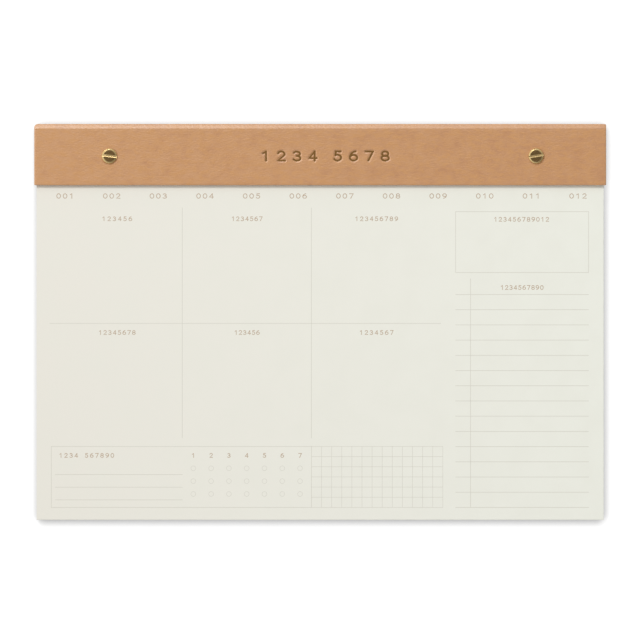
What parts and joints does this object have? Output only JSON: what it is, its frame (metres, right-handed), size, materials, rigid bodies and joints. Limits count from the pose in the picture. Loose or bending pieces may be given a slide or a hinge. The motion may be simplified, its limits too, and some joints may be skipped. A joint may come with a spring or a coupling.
{
  "type": "weekly planner pad",
  "caption": "Landscape desk pad of tear-off sheets on a greyboard back, clamped at the head by brass binding posts under a leatherette cover that folds over the spine.",
  "frame": {"origin": "below the middle of the pad, on the plane of the rear post heads that it lies on", "axes": "+X along the head to the reader's right, +Y up the page to the spine, +Z out of the top sheet"},
  "size_m": [0.3112, 0.2154, 0.0138],
  "materials": {
    "greyboard": "matt, pressed pulp board with fine fibre specks",
    "text_paper": "uncoated, warm off-white text paper",
    "leatherette": "tan leatherette, smooth calf grain with a satin coat",
    "brass": "turned and polished brass"
  },
  "bodies": {
    "root": {"backing_board": "greyboard", "sheet_block": "text_paper", "stiffener_board": "greyboard", "leatherette_cover": "leatherette", "binding_post_left": "brass", "binding_screw_left": "brass", "binding_post_right": "brass", "binding_screw_right": "brass"}
  },
  "joints": []
}
